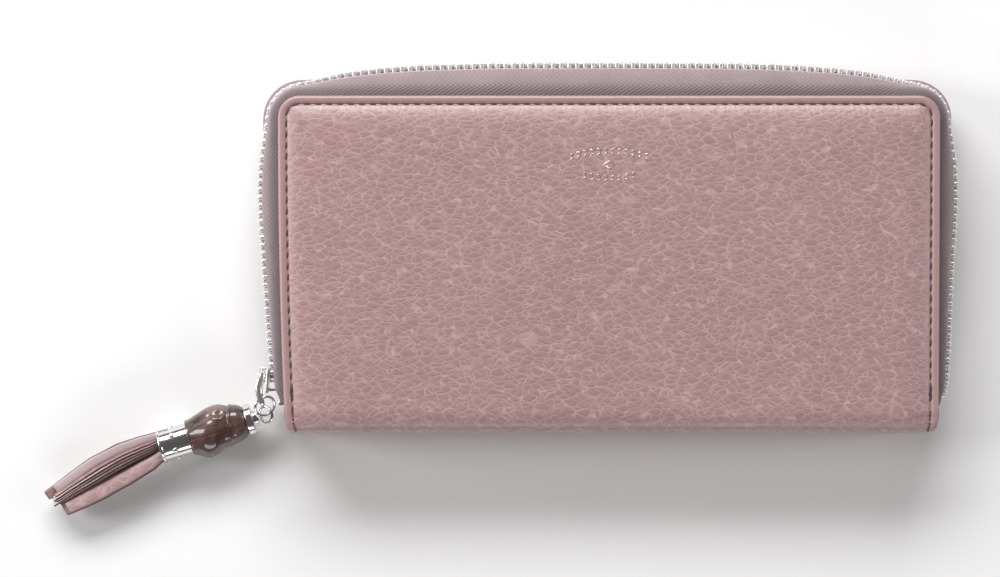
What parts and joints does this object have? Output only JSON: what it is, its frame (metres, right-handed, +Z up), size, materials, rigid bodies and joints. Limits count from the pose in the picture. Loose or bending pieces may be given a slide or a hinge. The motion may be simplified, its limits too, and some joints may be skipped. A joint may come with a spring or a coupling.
{
  "type": "zip around wallet",
  "caption": "Long leather wallet closed by a zip round three sides, opening like a book on card slots and a zipped coin pocket; bead and leather tassel on the zip pull.",
  "frame": {"origin": "centre of the back cover's flat outer face, on which the closed wallet lies", "axes": "+X along the long side to the right, +Y from the spine to the long zip side, +Z up through the thickness, out of the front cover"},
  "size_m": [0.2529, 0.1251, 0.0251],
  "materials": {
    "grained_leather": "pebbled, satin",
    "tassel_leather": "pebbled face, smooth cut edge",
    "inner_leather": "smooth, fine grain",
    "gusset_leather": "thin, smooth",
    "lining": "fine twill",
    "padding": "thin foam sheet",
    "board": "stiff bonded board",
    "thread": "waxed thread",
    "zip_tape": "woven herringbone",
    "zip_metal": "polished",
    "bright_metal": "mirror polish",
    "bamboo": "scorched, lacquered",
    "foil": "hot stamped foil"
  },
  "bodies": {
    "back": {"back_cover_leather": "grained_leather", "back_foam": "padding", "back_board": "board", "back_lining": "lining", "spine_leather": "grained_leather", "spine_lining": "lining", "back_stitching": "thread", "back_zip_tape": "zip_tape", "back_zip_teeth": "zip_metal", "zip_end_stops": "bright_metal", "back_card_slots_left": "inner_leather", "back_card_slots_right": "inner_leather", "back_gusset_left": "gusset_leather", "back_gusset_right": "gusset_leather"},
    "front": {"front_cover_leather": "grained_leather", "front_foam": "padding", "front_board": "board", "front_lining": "lining", "front_stitching": "thread", "front_zip_tape": "zip_tape", "front_zip_teeth": "zip_metal", "front_card_slots_left": "inner_leather", "front_card_slots_right": "inner_leather", "front_gusset_left": "gusset_leather", "front_gusset_right": "gusset_leather", "front_emblem": "foil"},
    "coin_pocket": {"coin_pocket_front_panel": "inner_leather", "coin_pocket_back_panel": "inner_leather", "coin_pocket_edge": "inner_leather", "coin_zip_tape_front": "zip_tape", "coin_zip_tape_back": "zip_tape", "coin_zip_teeth_front": "zip_metal", "coin_zip_teeth_back": "zip_metal"},
    "coin_slider": {"coin_slider": "bright_metal"},
    "coin_pull": {"coin_pull": "bright_metal"},
    "slider": {"slider_body": "bright_metal", "slider_lug": "bright_metal"},
    "bail": {"pull_bail": "bright_metal"},
    "ring_1": {"jump_ring_1": "bright_metal"},
    "ring_2": {"jump_ring_2": "bright_metal"},
    "charm": {"end_cap": "bright_metal", "cap_eye": "bright_metal", "bamboo_bead": "bamboo", "core_rod": "bright_metal", "ferrule": "bright_metal", "ferrule_pins": "bright_metal", "tassel_strips_upper_left": "tassel_leather", "tassel_strips_lower_left": "tassel_leather", "tassel_strips_upper_right": "tassel_leather", "tassel_strips_lower_right": "tassel_leather", "tassel_strip_middle": "tassel_leather"}
  },
  "joints": [
    {"name": "cover_open", "type": "hinge", "parent": "back", "child": "front", "pos_m": [0, -0.046, 0.02035], "axis": [1, 0, 0], "range_deg": [0, 60], "deforming": ["front_zip_tape", "front_zip_teeth", "front_gusset_left", "front_gusset_right"]},
    {"name": "pocket_turn", "type": "hinge", "parent": "back", "child": "coin_pocket", "pos_m": [0, -0.041, 0.0125], "axis": [1, 0, 0], "range_deg": [0, 30], "deforming": ["back_gusset_left", "back_gusset_right"]},
    {"name": "slider_travel", "type": "slide", "parent": "back", "child": "slider", "axis": [-0.0716, 0.9974, 0], "range_m": [0, 0.038], "deforming": ["back_zip_teeth", "back_zip_tape", "front_zip_teeth", "front_zip_tape"]},
    {"name": "bail_swing", "type": "hinge", "parent": "slider", "child": "bail", "pos_m": [-0.0953, -0.0302, 0.0125], "axis": [0, 0, 1], "range_deg": [-12, 2]},
    {"name": "ring_1_swing", "type": "hinge", "parent": "bail", "child": "ring_1", "pos_m": [-0.0954, -0.0386, 0.0125], "axis": [0, 0, 1], "range_deg": [-6, 6]},
    {"name": "ring_2_swing", "type": "hinge", "parent": "ring_1", "child": "ring_2", "pos_m": [-0.09391, -0.04148, 0.00915], "axis": [0.8904, 0.1084, -0.442], "range_deg": [-5, 5]},
    {"name": "charm_lift", "type": "hinge", "parent": "ring_2", "child": "charm", "pos_m": [-0.09641, -0.04225, 0.00695], "axis": [0.2924, -0.9563, 0], "range_deg": [-14, 0]},
    {"name": "coin_slider_travel", "type": "slide", "parent": "coin_pocket", "child": "coin_slider", "axis": [1, 0, 0], "range_m": [0, 0.125], "deforming": ["coin_zip_teeth_front", "coin_zip_teeth_back", "coin_zip_tape_front", "coin_zip_tape_back"]},
    {"name": "coin_pull_swing", "type": "hinge", "parent": "coin_slider", "child": "coin_pull", "pos_m": [-0.074, 0.04165, 0.0125], "axis": [0, 0, 1], "range_deg": [0, 35]}
  ],
  "couplings": [
    {"joint": "pocket_turn", "follows": "cover_open", "ratio": 0.5}
  ]
}
